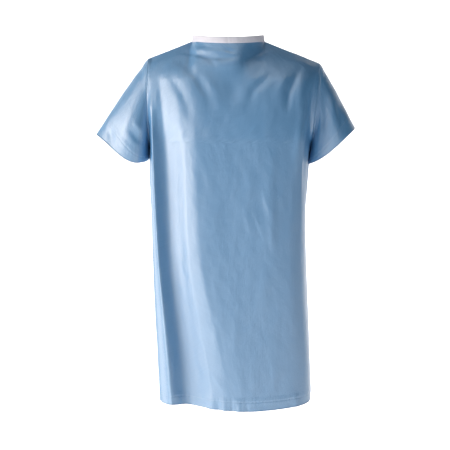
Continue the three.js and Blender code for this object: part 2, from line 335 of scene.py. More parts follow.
def seam_patterns(tree):
    """The stitches, the groove that they lie in, and the puckers beside it."""
    across = add_node(tree, "ShaderNodeAttribute", attribute_name="stitch_across").outputs["Fac"]
    along = add_node(tree, "ShaderNodeAttribute", attribute_name="stitch_along").outputs["Fac"]
    away = math_node(tree, "ABSOLUTE", across)
    wave = math_node(tree, "SINE", math_node(tree, "MULTIPLY", along, 2 * math.pi / STITCH_LENGTH))
    dash = math_node(tree, "MULTIPLY_ADD", wave, 1.6, 0.6, clamp=True)
    place = add_node(
        tree, "ShaderNodeCombineXYZ", {"X": math_node(tree, "MULTIPLY", along, PUCKERS_PER_METRE)})
    pucker_noise = add_node(
        tree, "ShaderNodeTexNoise", {"Vector": place.outputs[0], "Scale": 1.0, "Detail": 1.0}).outputs[0]
    return {
        "stitches": math_node(tree, "MULTIPLY", falls_off(tree, away, STITCH_WIDTH), dash),
        "groove": falls_off(tree, away, GROOVE_WIDTH),
        "puckers": math_node(tree, "MULTIPLY", falls_off(tree, away, PUCKER_WIDTH), pucker_noise)}


def woven_look(name, colour, pale_colour, stitch_colour, thread_pitch, gloss):
    """Woven cloth: crossing threads, uneven yarn, soft blotches of colour, and rows of stitches where the
    piece's own marks say that a seam runs. The pressed yarn has a broad white gloss over its own colour."""
    material = bpy.data.materials.new(name)
    material.use_nodes = True
    tree = material.node_tree
    surface = tree.nodes["Principled BSDF"]
    patterns = weave_patterns(tree, thread_pitch) | seam_patterns(tree)

    shade = math_node(tree, "MULTIPLY_ADD", patterns["yarn"], 0.45, -0.2)
    shade = math_node(tree, "MULTIPLY_ADD", patterns["blotches"], 0.45, shade)
    slubs = math_node(tree, "MULTIPLY_ADD", patterns["slubs"], 1.6, -0.8)
    shade = math_node(tree, "ADD", shade, slubs, clamp=True)
    cloth_colour = mix_colours(tree, shade, (*colour, 1), (*pale_colour, 1))
    stitch_share = math_node(tree, "MULTIPLY", patterns["stitches"], 0.6)
    stitched = mix_colours(tree, stitch_share, cloth_colour, (*stitch_colour, 1))
    tree.links.new(stitched, surface.inputs["Base Color"])

    relief = 0.0
    for pattern, height in RELIEF_HEIGHTS.items():
        relief = math_node(tree, "MULTIPLY_ADD", patterns[pattern], height, relief)
    bump = add_node(tree, "ShaderNodeBump", {"Height": relief, "Strength": 1.0, "Distance": 1.0 * MM})
    tree.links.new(bump.outputs["Normal"], surface.inputs["Normal"])
    tree.links.new(bump.outputs["Normal"], surface.inputs["Coat Normal"])

    surface.inputs["Roughness"].default_value = 0.6
    surface.inputs["Specular IOR Level"].default_value = 0.2
    surface.inputs["Coat Weight"].default_value = gloss
    surface.inputs["Coat Roughness"].default_value = 0.42
    surface.inputs["Coat IOR"].default_value = 2.4
    return material


cloth_look = woven_look(
    "blue_cloth", colour=(0.040, 0.196, 0.41), pale_colour=(0.060, 0.226, 0.45),
    stitch_colour=(0.36, 0.48, 0.66), thread_pitch=0.7 * MM, gloss=1.0)
tape_look = woven_look(
    "white_tape", colour=(0.58, 0.59, 0.68), pale_colour=(0.64, 0.65, 0.73),
    stitch_colour=(0.42, 0.44, 0.54), thread_pitch=0.9 * MM, gloss=0.15)


# The gown's own lines: the neck, the shoulders, the armholes and the side seams

NECK_FRONT_RISE = -9 * MM
NECK_BACK_RISE = 5 * MM
ARMHOLE_HALF_DEPTH = 62 * MM
UNDERARM_X = {"left": 228 * MM, "right": 216 * MM}
# The shoulder seam lies a little in front of the top of the shoulder.
SHOULDER_FORWARD = 18 * MM
SHOULDER_SAG = 2 * MM
SHOULDER_RIDGE = 9 * MM


def shoulder_tip(side):
    return np.array(joints[f"{side}_sleeve_lift"]["pos_m"])


def neck_edge(angle, facing):
    """The edge that the binding covers. The angle is 0 at the middle of the front or back."""
    depth = neck_front_depth if facing < 0 else neck_back_depth
    rise = NECK_FRONT_RISE if facing < 0 else NECK_BACK_RISE
    x = neck_half_width * np.sin(angle)
    y = facing * depth * np.cos(angle)
    return np.stack([x, y, rise * np.cos(angle) ** 2], -1)


def shoulder_line(side, share):
    """The shoulder seam, from its outer end at 0 to the neck at 1."""
    tip = shoulder_tip(side)
    end = np.array([SIGNS[side] * neck_half_width, 0, 0])
    share = np.asarray(share, float)[..., None]
    line = lerp(tip, end, share)
    line[..., 1] -= SHOULDER_FORWARD * np.sin(math.pi * share[..., 0]) ** 0.7
    line[..., 2] -= SHOULDER_SAG * np.sin(math.pi * share[..., 0])
    return line


def armhole(side, angle):
    """The armhole seam: 0 at the shoulder tip, a quarter turn at its front, half a turn at the underarm."""
    tip = shoulder_tip(side)
    bottom = np.array([SIGNS[side] * UNDERARM_X[side], 0, underarm_z])
    angle = np.asarray(angle, float)[..., None]
    point = lerp(bottom, tip, (1 + np.cos(angle)) / 2)
    point[..., 1] -= ARMHOLE_HALF_DEPTH * np.sin(angle[..., 0])
    return point


def side_edge(side, facing, z):
    """The side of a body panel at each height: on the armhole, then down the side seam."""
    tip = shoulder_tip(side)
    cosine = np.clip((z - underarm_z) / (tip[2] - underarm_z) * 2 - 1, -1, 1)
    edge = armhole(side, -facing * np.arccos(cosine))
    hinge = joints[f"{side}_back_open"]
    top = np.array(hinge["pos_m"])
    way = np.array(hinge["axis"])
    on_hinge = top + way * ((z - top[2]) / way[2])[..., None]
    underarm = np.array([SIGNS[side] * UNDERARM_X[side], 0, underarm_z])
    above_bend = lerp(underarm, top, np.clip((z - underarm_z) / (bend_z - underarm_z), 0, 1)[..., None])
    seam = np.where((z > bend_z)[..., None], above_bend, on_hinge)
    return np.where((z > underarm_z)[..., None], edge, seam)


def settle_edge(grid, column, fade, side, facing):
    """Moves one side of a panel onto its seam line, and the cloth near it along as far as fade says."""
    target = side_edge(side, facing, grid[:, column, 2])
    target[0] = shoulder_tip(side)
    grid += (target - grid[:, column])[:, None] * fade[None, :, None]


def rounded_shoulder(top, chest, facing, reach):
    """Where the cloth has turned over the shoulder, between its top edge and the chest or upper back. It
    stands out by the reach from the straight line between them."""
    out = np.array([0, facing, 1]) / math.sqrt(2)
    return lerp(top, chest, 0.45) + out * np.asarray(reach)[..., None]


# Millimetres down the cloth from its top edge, at the top, at the rounded shoulder, and then at each of
# the levels that the front's folds are given for
KEY_RUNS = [0, 45, 100, 180, 267, 540, 840, 986]
BODY_ROWS = 219
HEM_ROWS = 9


def panel_rows():
    """The run of each row of a body panel, and which row is at the top of the hem."""
    hem_run = KEY_RUNS[-1] - HEM_WIDTH / MM
    shoulder = spread([0, 25, 45, 100, 267], [10, 8, 20, 54])[:-1]
    body = np.linspace(KEY_RUNS[4], hem_run, BODY_ROWS)[:-1]
    hem = np.linspace(hem_run, KEY_RUNS[-1], HEM_ROWS)
    return np.concatenate([shoulder, body, hem]), len(shoulder) + len(body)


# The front. Its columns run from the wearer's right side seam to the left one, and follow its folds down:
# the ridge near the right side, the valley beside it, three places across the long flat roll, the middle,
# the left chest, and three places where the left side turns away. FRONT_FOLDS says, in millimetres, in
# x and y where they are at each height. NECK_COLUMNS are where the neck begins and ends.
FRONT_COLUMNS = [0, 0.13, 0.195, 0.25, 0.325, 0.385, 0.525, 0.67, 0.81, 0.885, 0.925, 1]
FRONT_COUNTS = [22, 13, 11, 14, 11, 24, 24, 24, 14, 9, 15]
NECK_COLUMNS = (0.32, 0.68)
FRONT_FOLDS = {
    -110: [(-203, -62), (-185, -68), (-160, -82), (-118, -97), (-84, -102),
           (8, -104), (92, -103), (172, -92), (214, -78), (232, -64)],
    -190: [(-204, -78), (-180, -80), (-160, -90), (-122, -107), (-90, -114),
           (8, -118), (92, -119), (165, -111), (204, -98), (222, -74)],
    -277: [(-202, -86), (-173, -75), (-146, -89), (-114, -110), (-84, -119),
           (8, -124), (92, -127), (161, -120), (196, -108), (213, -76)],
    -550: [(-190, -91), (-160, -73), (-134, -87), (-104, -111), (-74, -123),
           (8, -128), (92, -130), (162, -122), (191, -104), (204, -76)],
    -850: [(-163, -89), (-126, -65), (-98, -78), (-56, -108), (-18, -124),
           (34, -129), (106, -127), (172, -117), (204, -98), (217, -72)],
    -996: [(-152, -86), (-113, -64), (-80, -77), (-30, -108), (10, -122),
           (50, -127), (114, -125), (177, -114), (209, -95), (222, -70)],
}
# How much higher than hem_z the hem hangs, in millimetres, at places from the right side seam to the left
HEM_RISES = ([0, 0.13, 0.195, 0.3, 0.525, 0.67, 0.81, 1], [-6, 11, 9, 3, 1, 5, 12, 26])
BACK_MIDDLE_RISE = 1 * MM
# Each smaller fold of the front: its path in x and z, its height and its width, in millimetres, and then
# how much it leans
FRONT_CREASES = [
    ([(-156, -26), (-100, -36), (-52, -49), (-10, -52), (20, -49), (60, -26)], -4, 8, 0.3),
    ([(-130, -22), (-70, -28), (-30, -36), (-8, -30)], 1.5, 8, 0),
    ([(-20, -27), (6, -33), (30, -38)], -2.5, 5, 0.2),
    ([(-66, -52), (-42, -62), (-32, -80)], -2.5, 7, 0),
    ([(-130, -62), (-80, -70), (-20, -72), (40, -70), (80, -58)], 1.6, 14, 0.2),
    ([(-172, -34), (-115, -69), (-88, -99), (-56, -150), (-44, -230)], -3.2, 13, 0.3),
    ([(-105, -56), (-66, -92), (-34, -140), (-24, -220)], 1.8, 14, 0),
    ([(-186, -60), (-144, -113), (-113, -165), (-90, -250)], -2.6, 13, 0.2),
    ([(202, -54), (184, -96), (162, -142), (150, -225)], -5, 10, -0.3),
    ([(210, -84), (192, -130), (180, -220)], 2.6, 11, 0),
    ([(172, -56), (110, -96), (66, -137), (44, -210)], -4.2, 14, -0.2),
    ([(186, -66), (146, -110), (116, -195)], 2.4, 14, 0),
    ([(150, -60), (96, -92), (50, -140), (30, -210)], 1.6, 14, 0),
    ([(140, -18), (94, -36), (54, -52), (24, -68)], -4, 9, 0),
    ([(124, -44), (80, -66), (40, -96)], 3, 12, 0),
    ([(-20, -86), (10, -130), (16, -200)], -2.5, 22, 0),
    ([(238, -85), (223, -150), (218, -230), (205, -310), (198, -460)], -6, 6, 0.3),
    ([(200, -90), (198, -180), (186, -280), (172, -430)], 4, 12, 0),
    ([(130, -240), (114, -380), (118, -560), (126, -640)], 2.2, 14, -0.3),
    ([(72, -245), (80, -310), (92, -390)], 0.9, 12, 0.4),
    ([(44, -310), (56, -390), (64, -460)], 0.9, 12, 0.3),
    ([(86, -370), (100, -435), (118, -500)], 1.2, 8, 0.5),
    ([(60, -430), (80, -490), (102, -550)], 1.1, 9, 0.5),
    ([(98, -450), (112, -510), (118, -580)], 1.0, 8, 0.4),
    ([(40, -400), (46, -470), (66, -540)], 0.8, 9, 0.3),
    ([(120, -560), (96, -650), (70, -760)], 1.3, 16, 0),
    ([(-84, -262), (-72, -320), (-50, -390)], 0.8, 12, 0.4),
    ([(-60, -300), (-50, -370), (-46, -450)], 0.8, 12, 0.2),
    ([(-62, -860), (-30, -915), (6, -970)], 1.2, 8, 0.5),
    ([(40, -640), (24, -740), (16, -860)], 1.2, 18, 0.3),
    ([(60, -780), (66, -880), (72, -990)], 0.9, 14, 0.3),
    ([(112, -810), (120, -880), (124, -960)], 0.9, 10, 0.4),
    ([(-48, -940), (-42, -1050)], 3, 6, 0),
    ([(-30, -945), (-24, -1050)], -2.4, 5, 0),
    ([(-12, -940), (-8, -1050)], 3, 6, 0),
    ([(8, -945), (12, -1050)], -2.4, 5, 0),
    ([(26, -950), (31, -1050)], 2.6, 6, 0),
    ([(48, -950), (54, -1050)], -2, 6, 0),
    ([(-138, -935), (-134, -1050)], 2.6, 7, 0),
    ([(180, -930), (186, -1050)], 2, 8, 0),
]


def shoulder_share(columns):
    """How far in from its outer end a column meets the shoulder seam, over 1 where it meets the neck."""
    first, last = NECK_COLUMNS
    right = columns / first
    left = (1 - columns) / (1 - last)
    return np.minimum(right, left)


def front_top(columns):
    """The front's top edge: a shoulder seam, the neck, and the other shoulder seam."""
    share = shoulder_share(columns)
    first, last = NECK_COLUMNS
    angle = lerp(-math.pi / 2, math.pi / 2, np.clip((columns - first) / (last - first), 0, 1))
    top = neck_edge(angle, -1)
    for side, part in (("right", columns < first), ("left", columns > last)):
        top[part] = shoulder_line(side, np.clip(share[part], 0, 1) ** 1.35)
    return top


def nearest(values, wanted):
    return int(np.argmin(np.abs(np.asarray(values) - wanted)))


def hem_rise(columns):
    places, rises = HEM_RISES
    return through(places, np.array(rises) * MM, columns)


def build_front_grid():
    columns = spread(FRONT_COLUMNS, FRONT_COUNTS)
    runs, hem_row = panel_rows()
    rows = []
    for height, inner in FRONT_FOLDS.items():
        z = max(height * MM, hem_z)
        ends = [side_edge(side, -1, np.array([z]))[0][:2] for side in ("right", "left")]
        points = np.concatenate([[ends[0]], np.array(inner) * MM, [ends[1]]])
        level = through(FRONT_COLUMNS, points, columns)
        rows.append(np.column_stack([level, np.full(len(columns), z)]))
    top = front_top(columns)
    keys = np.array(FRONT_COLUMNS)
    chest = np.stack([rows[0][nearest(columns, key)] for key in keys])
    reach = lerp(7, 11, np.abs(2 * keys - 1) ** 4) * MM
    shoulder = through(keys, rounded_shoulder(front_top(keys), chest, -1, reach), columns)
    rows[:0] = [top, shoulder]
    rows[-1][:, 2] += hem_rise(columns)
    grid = through(KEY_RUNS, np.stack(rows), runs)
    settle_edge(grid, 0, 1 - smoothstep(columns / 0.06), "right", -1)
    settle_edge(grid, -1, 1 - smoothstep((1 - columns) / 0.06), "left", -1)

    plane = grid[..., [0, 2]]
    lift = sum(fold(plane, *crease) for crease in FRONT_CREASES)
    unevenness = ripples(plane, seed=3, waves=10, height=0.5, lengths=(40, 130))
    lift = lift + unevenness * smoothstep(-plane[..., 1] / 0.2)
    # The seams hold the cloth still.
    from_sides = smoothstep(np.minimum(columns, 1 - columns) / 0.03)[None, :]
    from_top = smoothstep(runs / 30)[:, None]
    grid += normals_of(grid, (0, -1, 0)) * (lift * from_sides * from_top)[..., None]
    return {"grid": grid, "normals": normals_of(grid, (0, -1, 0)), "columns": columns, "runs": runs,
            "hem_row": hem_row}


def panel_marks(panel, seam_columns):
    """Where a body panel is stitched: along its hem, beside some of its columns, and below its top edge."""
    grid = panel["grid"]
    down = runs_of(grid, 0)
    over = runs_of(grid, 1)
    from_hem = down[panel["hem_row"]][None, :] - down
    across = from_hem - HEM_STITCH_INSET
    along = over
    for column in seam_columns:
        beside = np.abs(over - over[:, [column]]) - STITCH_INSET
        closer = np.abs(beside) < np.abs(across)
        across = np.where(closer, beside, across)
        along = np.where(closer, down, along)
    from_top = down - STITCH_INSET
    closer = np.abs(from_top) < np.abs(across)
    across = np.where(closer, from_top, across)
    along = np.where(closer, over, along)
    return {"stitch_across": across, "stitch_along": along}


front = build_front_grid()
front_cloth = cloth_piece("front_cloth", front["grid"], front["normals"], 0, CLOTH,
                          panel_marks(front, (0, -1)), cloth_look)
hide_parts("front_panel")
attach(front_cloth, "torso")

last_row = len(front["runs"]) - 1
last_column = len(front["columns"]) - 1
front_hem = inner_strip("front_hem_fold", front, (front["hem_row"], last_row), (0, last_column))
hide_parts("front_hem")
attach(front_hem, "torso")

underarm_row = nearest(front["grid"][:, 0, 2], underarm_z)
seam_row = nearest(front["runs"], SEAM_WIDTH / MM)
for side, inward in (("right", 1), ("left", -1)):
    over = runs_of(front["grid"], 1)[underarm_row]
    edge = 0 if side == "right" else last_column
    seam_columns = sorted([edge, nearest(np.abs(over - over[edge]), SEAM_WIDTH)])
    seam_rows = (underarm_row, front["hem_row"] - 1)
    side_seam = inner_strip(f"side_seam_allowance_{side}", front, seam_rows, seam_columns)
    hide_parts(f"side_seam_{side}")
    neck_column = nearest(front["columns"], NECK_COLUMNS[0 if side == "right" else 1])
    shoulder_columns = sorted([edge + 3 * inward, neck_column])
    shoulder_seam = inner_strip(f"shoulder_seam_allowance_{side}", front, (0, seam_row), shoulder_columns)
    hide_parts(f"shoulder_seam_{side}")
    for piece in (side_seam, shoulder_seam):
        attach(piece, "torso")


# The back. The columns of each panel run from its side seam to the open middle.
BACK_COUNT = 72
# 1 makes a level section of the back an ellipse, and less makes it squarer.
SECTION_POWER = 0.83
# The share of the columns that meets the shoulder seam. The rest meets the neck.
SHOULDER_END_SHARE = 0.5
# The y of the back's middle at some heights, from the hem up, in millimetres
BACK_DEPTHS = ([-1030, -362, -277, -190, -110], [132, 122, 126, 128, 110])
BACK_HALF_WIDTH = 230 * MM
RIDGE_RUN = 14


def back_gap(z):
    return lerp(neck_gap, hem_gap, np.clip(z / hem_z, 0, 1))


def back_level(side, shares, z):
    """A level section of the back, from the side edge to the open middle."""
    edge = side_edge(side, 1, np.array([z]))[0]
    depth = np.interp(z / MM, *BACK_DEPTHS) * MM
    on_armhole = z > underarm_z
    seam_y = 0 if on_armhole else edge[1]
    edge_angle = math.acos((edge[1] / depth) ** (1 / SECTION_POWER)) if on_armhole else math.pi / 2
    half_width = abs(edge[0]) / math.sin(edge_angle) ** SECTION_POWER
    gap_angle = math.asin((back_gap(z) / half_width) ** (1 / SECTION_POWER))
    angle = lerp(edge_angle, gap_angle, shares)
    x = SIGNS[side] * half_width * np.sin(angle) ** SECTION_POWER
    y = seam_y + (depth - seam_y) * np.maximum(np.cos(angle), 0) ** SECTION_POWER
    return np.stack([x, y, np.full_like(x, z)], -1)


def back_top(side, shares):
    """The back's top edge: the shoulder seam, then the neck."""
    gap_angle = math.asin(neck_gap / neck_half_width)
    neck_part = np.clip((shares - SHOULDER_END_SHARE) / (1 - SHOULDER_END_SHARE), 0, 1)
    top = neck_edge(SIGNS[side] * lerp(math.pi / 2, gap_angle, neck_part), 1)
    on_shoulder = shares < SHOULDER_END_SHARE
    top[on_shoulder] = shoulder_line(side, shares[on_shoulder] / SHOULDER_END_SHARE)
    return top


def build_back_grid(side):
    shares = np.linspace(0, 1, BACK_COUNT)
    hem_column = nearest(shares, 1 - EDGE_HEM_WIDTH / BACK_HALF_WIDTH)
    runs, hem_row = panel_rows()
    rows = [back_level(side, shares, max(height * MM, hem_z)) for height in FRONT_FOLDS]
    top = back_top(side, shares)
    reach = lerp(7, 12, (1 - shares) ** 3) * MM
    rise_at_seam = hem_rise(np.array([1.0 if side == "left" else 0.0]))[0]
    rows[-1][:, 2] += lerp(rise_at_seam, BACK_MIDDLE_RISE, smoothstep(shares))
    rounded = rounded_shoulder(top, rows[0], 1, reach)
    # The back first rises from the seam to the top of the shoulder.
    ridge = lerp(top, rounded, 0.3)
    ridge[:, 2] += SHOULDER_RIDGE * np.sin(math.pi * np.clip(shares / SHOULDER_END_SHARE, 0, 1)) ** 0.7
    rows[:0] = [top, ridge, rounded]
    grid = through([0, RIDGE_RUN] + KEY_RUNS[1:], np.stack(rows), runs)
    settle_edge(grid, 0, 1 - smoothstep(shares / 0.12), side, 1)

    plane = grid[..., [0, 2]]
    drop = smoothstep((runs - 180) / 700)[:, None]
    waves = np.sin(shares * 2 * math.pi * 2.6 + 0.9 * drop + SIGNS[side] * 0.7)
    waves = waves + 0.5 * np.sin(shares * 2 * math.pi * 5.3 - 1.4 * drop + SIGNS[side] * 1.9)
    # The back's long soft folds deepen towards the hem.
    lift = waves * lerp(1.5, 8, drop) * MM
    lift = lift + ripples(plane, seed=11 if side == "left" else 12, waves=9, height=0.6, lengths=(30, 90))
    held = smoothstep(shares / 0.14) * smoothstep((1 - shares) / 0.3)
    lift = lift * held[None, :] * smoothstep((runs - 20) / 160)[:, None]
    grid += normals_of(grid, (0, 1, 0)) * lift[..., None]
    return {"grid": grid, "normals": normals_of(grid, (0, 1, 0)), "columns": shares, "runs": runs,
            "hem_row": hem_row, "hem_column": hem_column}


def bend_with_flap(piece):
    """Bakes the piece's placement into its mesh."""
    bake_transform(piece)


backs = {}
for side in SIGNS:
    back = build_back_grid(side)
    backs[side] = back
    cloth = cloth_piece(f"back_{side}_cloth", back["grid"], back["normals"], 0, CLOTH,
                        panel_marks(back, (0, back["hem_column"])), cloth_look)
    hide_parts(f"back_{side}_upper", f"back_{side}_lower")
    bend_with_flap(cloth)
    last = len(back["columns"]) - 1
    hem = inner_strip(f"back_{side}_hem_fold", back, (back["hem_row"], last_row), (0, last))
    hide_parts(f"back_{side}_hem")
    bend_with_flap(hem)
    edge_rows = (0, back["hem_row"] - 1)
    edge_hem = inner_strip(f"back_{side}_edge_fold", back, edge_rows, (back["hem_column"], last))
    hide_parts(f"back_{side}_edge_hem_upper", f"back_{side}_edge_hem_lower")
    bend_with_flap(edge_hem)
    back["pieces"] = (cloth, hem, edge_hem)


# The sleeves. Their columns go all round from the top over the front, and their rows from the armhole to
# the open end. SLEEVE_ENDS gives the open end's ring in millimetres: its middle, the way from there to its
# top, half its depth, how far its lower edge sags, and how much its section leans.
SLEEVE_SPANS = 120
SLEEVE_HEM_SHARE = 0.82
SLEEVE_ENDS = {
    "left": {"middle": (283, -285), "to_top": (64, 49), "half_depth": 66, "sag": 9, "slant": -0.25},
    "right": {"middle": (-289.5, -286), "to_top": (-72.5, 33), "half_depth": 66, "sag": 26, "slant": 0.35},
}
# The smaller folds of each sleeve's front, given like the front's
SLEEVE_CREASES = {
    "right": [
        ([(-262, -205), (-240, -235), (-218, -262)], 2, 10, 0.3),
        ([(-275, -225), (-248, -262), (-222, -290)], -2.5, 10, 0.2),
        ([(-240, -110), (-262, -170), (-275, -250), (-272, -310)], 2, 16, 0.2),
        ([(-322, -225), (-318, -265), (-316, -295)], -3, 9, 0.3),
        ([(-300, -160), (-328, -215), (-340, -260)], 2, 12, 0),
    ],
    "left": [
        ([(256, -110), (258, -180), (250, -260), (244, -310)], -5, 11, 0.2),
        ([(272, -130), (282, -200), (280, -290)], 4, 13, 0.2),
        ([(292, -160), (304, -215), (306, -280)], -4, 11, 0.3),
        ([(300, -170), (322, -215), (330, -250)], 3, 11, 0),
        ([(240, -150), (238, -220), (234, -290)], -4, 8, 0),
    ],
}


def in_plane(x, z):
    return np.array([x, 0, z]) * MM


def build_sleeve_grid(side):
    angles = np.linspace(0, 2 * math.pi, SLEEVE_SPANS, endpoint=False)
    end = SLEEVE_ENDS[side]
    start_ring = armhole(side, angles)
    end_ring = in_plane(*end["middle"]) + in_plane(*end["to_top"]) * np.cos(angles)[:, None]
    # A slanted sleeve is fullest below its middle, so that its front and back lean towards the top.
    end_ring[:, 1] -= end["half_depth"] * MM * np.sin(angles - end["slant"] * np.sin(angles))
    end_ring[:, 2] -= end["sag"] * MM * np.sin(angles) ** 2 * (1 - 0.8 * np.cos(angles))
    shares = spread([0, SLEEVE_HEM_SHARE, 1], [45, 9])
    grid = lerp(start_ring, end_ring, shares[:, None, None])
    # Between its ends the sleeve is fuller.
    full = np.sin(math.pi * shares)[:, None]
    grid[..., 1] -= 9 * MM * full * np.sin(angles)
    grid[..., 2] += 5 * MM * full * np.maximum(np.cos(angles), 0)
    # Just past the seam the cloth stands a little proud of the armhole.
    grid[..., 0] += SIGNS[side] * 1.5 * MM * np.sin(math.pi * np.clip(shares / 0.12, 0, 1))[:, None]
    plane = grid[..., [0, 2]]
    at_front = smoothstep(np.sin(angles) * 2.5)[None, :]
    at_back = (1 - smoothstep(np.sin(angles) * 2.5 + 1))[None, :]
    lift = sum(fold(plane, *crease) for crease in SLEEVE_CREASES[side]) * at_front
    lift = lift + ripples(plane, seed=21, waves=7, height=1.6, lengths=(40, 110)) * at_back
    lift = lift + ripples(plane, seed=22, waves=7, height=0.5, lengths=(25, 70))
    lift = lift * smoothstep(shares / 0.15)[:, None]
    grid += sleeve_normals(grid) * lift[..., None]
    return {"grid": grid, "normals": sleeve_normals(grid), "shares": shares, "angles": angles}


def sleeve_normals(grid):
    """The unit normals of a grid that goes all round, pointing away from its middle."""
    normals = normals_of(grid, (0, 1, 0), closed=True)
    out = grid - grid.mean(axis=1, keepdims=True)
    return normals if (normals * out).sum() > 0 else -normals


def sleeve_marks(sleeve):
    """Where a sleeve is stitched: along its hem, and beside the armhole."""
    down = runs_of(sleeve["grid"], 0)
    over = runs_of(sleeve["grid"], 1)
    row = nearest(sleeve["shares"], SLEEVE_HEM_SHARE)
    from_hem = down - down[row][None, :]
    from_armhole = down - STITCH_INSET
    closer = np.abs(from_armhole) < np.abs(from_hem)
    return {"stitch_across": np.where(closer, from_armhole, from_hem), "stitch_along": over}


def bend_with_sleeve(piece):
    """Bakes the piece's placement into its mesh."""
    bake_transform(piece)


sleeve_pieces = {}
for side in SIGNS:
    sleeve = build_sleeve_grid(side)
    cloth = cloth_piece(f"sleeve_{side}_cloth", sleeve["grid"], sleeve["normals"], 0, CLOTH,
                        sleeve_marks(sleeve), cloth_look, closed=True)
    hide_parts(f"sleeve_{side}")
    bend_with_sleeve(cloth)
    hem_start = nearest(sleeve["shares"], SLEEVE_HEM_SHARE)
    hem_rows = (hem_start, len(sleeve["shares"]) - 1)
    hem = inner_strip(f"sleeve_{side}_hem_fold", sleeve, hem_rows, (0, SLEEVE_SPANS - 1), closed=True)
    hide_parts(f"sleeve_{side}_hem")
    bend_with_sleeve(hem)
    sleeve_pieces[side] = (cloth, hem)

    # The armhole seam's allowance stands inside the gown, against the body panels.
    ring = armhole(side, sleeve["angles"])
    middle = ring.mean(axis=0)
    insets = np.linspace(SEAM_WIDTH, 0.4 * MM, 5)
    band = np.stack([ring - np.array([SIGNS[side] * inset, 0, 0]) for inset in insets])
    band = middle + (band - middle) * np.array([1, 0.955, 0.97])
    allowance = cloth_piece(f"armhole_seam_allowance_{side}", band, sleeve_normals(band), 0, FOLDED,
                            no_stitches(band), cloth_look, closed=True)
    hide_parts(f"armhole_seam_{side}")
    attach(allowance, "torso")


# The neck binding: a tape folded over the edge of the neck, all round
BINDING_HEIGHT = 14 * MM
BINDING_OVERLAP = 3 * MM
BINDING_HALF_THICKNESS = 1.3 * MM
BINDING_END_X = 3 * MM
BINDING_LEAN = 1.5 * MM
BINDING_STITCH_INSET = 2 * MM


def build_binding_grid():
    """One row for each point of the tape's section, and one column for each point round the neck."""
    end_angle = math.asin(BINDING_END_X / neck_half_width)
    back_half = np.linspace(end_angle, math.pi / 2, 26)[:-1]
    front_whole = np.linspace(math.pi / 2, -math.pi / 2, 71)
    path = np.concatenate([
        neck_edge(back_half, 1), neck_edge(front_whole, -1), neck_edge(-back_half[::-1], 1)])
    path[:, 2] = np.convolve(np.pad(path[:, 2], 3, mode="edge"), np.ones(7) / 7, mode="valid")
    ahead, behind = neighbours(path[:, None], 0, False)
    way = (ahead - behind)[:, 0]
    way[:, 2] = 0
    way /= np.linalg.norm(way, axis=1, keepdims=True)
    out = np.column_stack([way[:, 1], -way[:, 0], np.zeros(len(way))])
    if np.dot(out[len(out) // 2], (0, -1, 0)) < 0:
        out = -out
    # The tape's section, from its outer lower edge over the top to its inner lower edge
    side_heights = np.linspace(-BINDING_OVERLAP, BINDING_HEIGHT - 2 * MM, 7)
    outer_side = [(BINDING_HALF_THICKNESS * 1.15, height) for height in side_heights]
    top_middle = BINDING_HEIGHT - BINDING_HALF_THICKNESS
    top = [(BINDING_HALF_THICKNESS * math.cos(angle), top_middle + BINDING_HALF_THICKNESS * math.sin(angle))
           for angle in np.linspace(0, math.pi, 9)]
    inner_side = [(-x, height) for x, height in outer_side[::-1]]
    wobble = ripples(path[:, [0, 2]], seed=31, waves=6, height=0.35, lengths=(14, 40))
    # The tape stands a little taller where it goes over the shoulders, and leans in towards the neck.
    taller = 1 + 0.16 * np.abs(path[:, 0] / neck_half_width) ** 8
    rings = []
    for across, height in outer_side + top + inner_side:
        lean = -BINDING_LEAN * max(height, 0) / BINDING_HEIGHT
        ring = path + out * (across + lean + wobble)[:, None]
        ring[:, 2] += height * taller
        rings.append(ring)
    return np.stack(rings)


def build_binding():
    grid = build_binding_grid()
    index = np.arange(grid.shape[0] * grid.shape[1]).reshape(grid.shape[:2])
    faces = quads(np.concatenate([index, index[:1]])).tolist()
    faces += [index[::-1, 0].tolist(), index[:, -1].tolist()]
    down = runs_of(grid, 0)
    over = runs_of(grid, 1)
    uv = np.stack([over, down], -1).reshape(-1, 2)
    marks = {"stitch_across": (down - BINDING_STITCH_INSET).ravel(), "stitch_along": over.ravel()}
    return new_piece("neck_binding_tape", grid.reshape(-1, 3), faces, uv, tape_look, marks)


binding = build_binding()
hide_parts("neck_binding")
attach(binding, "torso")


# The ties: flat woven tapes, with a narrow hem at the free end
TIE_ROW_STEP = 4 * MM
TIE_HEM = 7 * MM
TIE_HEM_REACH = 20 * MM


def build_tie(name, node, body, path_y, sway, seed):
    """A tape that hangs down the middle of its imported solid, at the y that path_y gives for each height. It
    stands out by up to the sway, in millimetres, and twists by up to four times as many degrees."""
    low, high = np.array(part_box(node))
    length = high[2] - low[2]
    heights = np.linspace(high[2], low[2], max(8, round(length / TIE_ROW_STEP)))
    middle_x = (low[0] + high[0]) / 2
    half_width = (high[0] - low[0]) / 2
    down = (high[2] - heights) / length
    draw = np.random.default_rng(seed)
    twist = np.radians(sway * 4) * np.sin(down * math.pi * draw.uniform(1.2, 1.7)) * down
    lift = sway * MM * down * np.sin(down * math.pi * draw.uniform(1.6, 2.4)) ** 2
    edges = np.linspace(-1, 1, 9)
    x = middle_x + half_width * np.outer(np.cos(twist), edges)
    y = (path_y(heights) + lift)[:, None] + half_width * np.outer(np.abs(np.sin(twist)), edges + 1)
    z = np.repeat(heights[:, None], len(edges), 1)
    grid = np.stack([x, y, z], -1)
    above_end = z - low[2]
    across = np.where(above_end > TIE_HEM_REACH, FAR_FROM_STITCHES, np.abs(above_end - TIE_HEM))
    marks = {"stitch_across": across, "stitch_along": runs_of(grid, 1)}
    tie = cloth_piece(name, grid, normals_of(grid, (0, 1, 0)), -TAPE, 0, marks, tape_look)
    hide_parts(node)
    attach(tie, body)
    return tie


